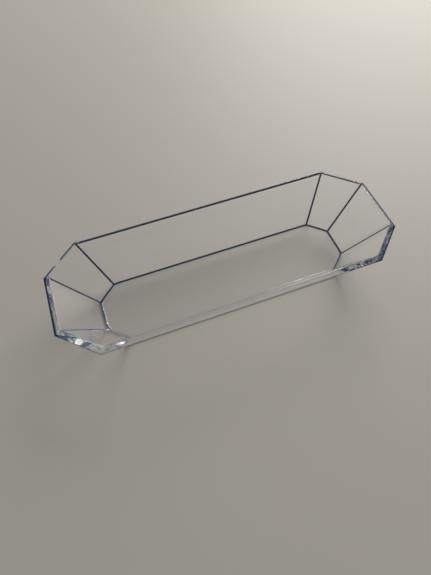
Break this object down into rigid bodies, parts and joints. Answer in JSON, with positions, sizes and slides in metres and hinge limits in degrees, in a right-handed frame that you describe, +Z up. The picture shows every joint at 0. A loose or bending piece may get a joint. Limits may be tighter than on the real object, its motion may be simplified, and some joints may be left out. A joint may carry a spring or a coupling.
{
  "type": "faceted clear dish",
  "caption": "Clear elongated octagonal dish with flared faceted walls, open at the top, with thin navy enamel lines along its outer edges.",
  "frame": {"origin": "centre of the underside, on the plane that the dish rests on", "axes": "+X along the dish's length, +Y across it, +Z up out of its opening"},
  "size_m": [0.2486, 0.0914, 0.0407],
  "materials": {
    "clear_glass": "clear polished glass",
    "navy_enamel": "thin navy enamel, satin"
  },
  "bodies": {
    "root": {"dish_body": "clear_glass", "rim_line_right": "navy_enamel", "rim_line_back_right": "navy_enamel", "rim_line_back": "navy_enamel", "rim_line_back_left": "navy_enamel", "rim_line_left": "navy_enamel", "rim_line_front_left": "navy_enamel", "rim_line_front": "navy_enamel", "rim_line_front_right": "navy_enamel", "rib_line_right_to_back_right": "navy_enamel", "rib_line_back_right_to_back": "navy_enamel", "rib_line_back_to_back_left": "navy_enamel", "rib_line_back_left_to_left": "navy_enamel", "rib_line_left_to_front_left": "navy_enamel", "rib_line_front_left_to_front": "navy_enamel", "rib_line_front_to_front_right": "navy_enamel", "rib_line_front_right_to_right": "navy_enamel", "base_line_right": "navy_enamel", "base_line_back_right": "navy_enamel", "base_line_back": "navy_enamel", "base_line_back_left": "navy_enamel", "base_line_left": "navy_enamel", "base_line_front_left": "navy_enamel", "base_line_front": "navy_enamel", "base_line_front_right": "navy_enamel"}
  },
  "joints": []
}
